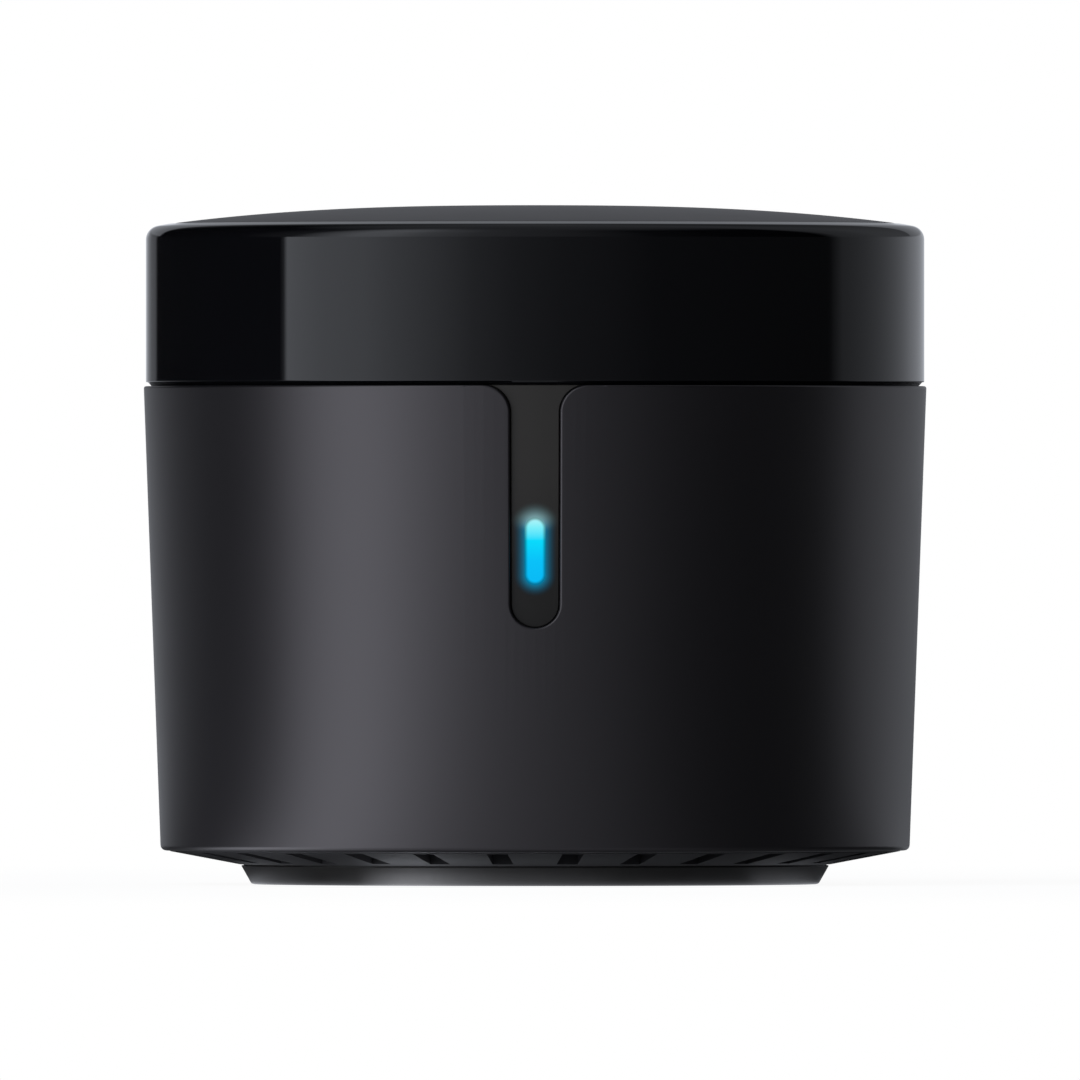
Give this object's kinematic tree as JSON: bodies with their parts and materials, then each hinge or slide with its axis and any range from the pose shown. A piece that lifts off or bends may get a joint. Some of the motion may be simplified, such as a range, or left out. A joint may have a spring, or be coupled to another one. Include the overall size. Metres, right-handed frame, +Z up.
{
  "type": "smart infrared blaster",
  "caption": "Round desk-top hub that sends infrared remote codes: matte tapered shell, glossy infrared cap, lit front window, vented base, rear power inlet and reset button.",
  "frame": {"origin": "centre of the foot's underside, on the surface that the object stands on", "axes": "+Z up along the axis of the round body, -Y towards the lit window, +Y towards the power inlet"},
  "size_m": [0.05, 0.0499, 0.0433],
  "materials": {
    "case_plastic": "fine matte texture",
    "base_plastic": "fine matte texture",
    "strip_plastic": "smooth satin",
    "cap_plastic": "polished, lets infrared light through",
    "plate_plastic": "fine matte texture",
    "foot_rubber": "matte",
    "lit_pipe": "clear, glowing cyan",
    "frame_plastic": "matte",
    "button_plastic": "satin",
    "tape": "matte",
    "screw_steel": "satin",
    "sheet_steel": "satin",
    "contact_brass": "gold plated",
    "board_green": "solder mask",
    "board_blue": "solder mask",
    "chip_black": "matte",
    "chip_tan": "satin",
    "white_plastic": "matte",
    "diode_clear": "tinted epoxy",
    "lamp_white": "diffusing",
    "can_aluminium": "satin"
  },
  "bodies": {
    "housing": {"foot_pad": "foot_rubber", "base_cover": "base_plastic", "base_screws": "screw_steel", "main_shell": "case_plastic", "front_insert": "strip_plastic", "light_pipe": "lit_pipe", "inner_frame": "frame_plastic", "ir_cap": "cap_plastic", "plate_tape": "tape", "top_plate": "plate_plastic", "switch_body": "sheet_steel", "main_board": "board_green", "board_screws": "screw_steel", "usb_socket": "sheet_steel", "usb_tongue": "chip_black", "usb_contacts": "contact_brass", "status_led": "lamp_white", "wifi_board": "board_blue", "wifi_shield": "sheet_steel", "processor": "chip_black", "regulator": "chip_black", "power_inductor": "chip_black", "filter_capacitor": "can_aluminium", "chip_parts": "chip_tan", "link_base": "chip_black", "link_top": "chip_black", "link_pins": "contact_brass", "led_board": "board_green", "led_screws": "screw_steel", "led_holder": "white_plastic", "led_leads": "sheet_steel", "ir_receiver": "chip_black", "receiver_shield": "sheet_steel", "drivers": "chip_black", "led_resistors": "chip_black", "ir_led_1": "diode_clear", "ir_led_2": "diode_clear", "ir_led_3": "diode_clear", "ir_led_4": "diode_clear", "ir_led_5": "diode_clear", "ir_led_6": "diode_clear"},
    "button": {"reset_button": "button_plastic", "switch_plunger": "white_plastic"}
  },
  "joints": [
    {"name": "reset_press", "type": "slide", "parent": "housing", "child": "button", "axis": [-0.4067, -0.9135, 0], "range_m": [0, 0.0003], "stiffness_N_per_m": 4000, "springref_m": -0.00005}
  ]
}
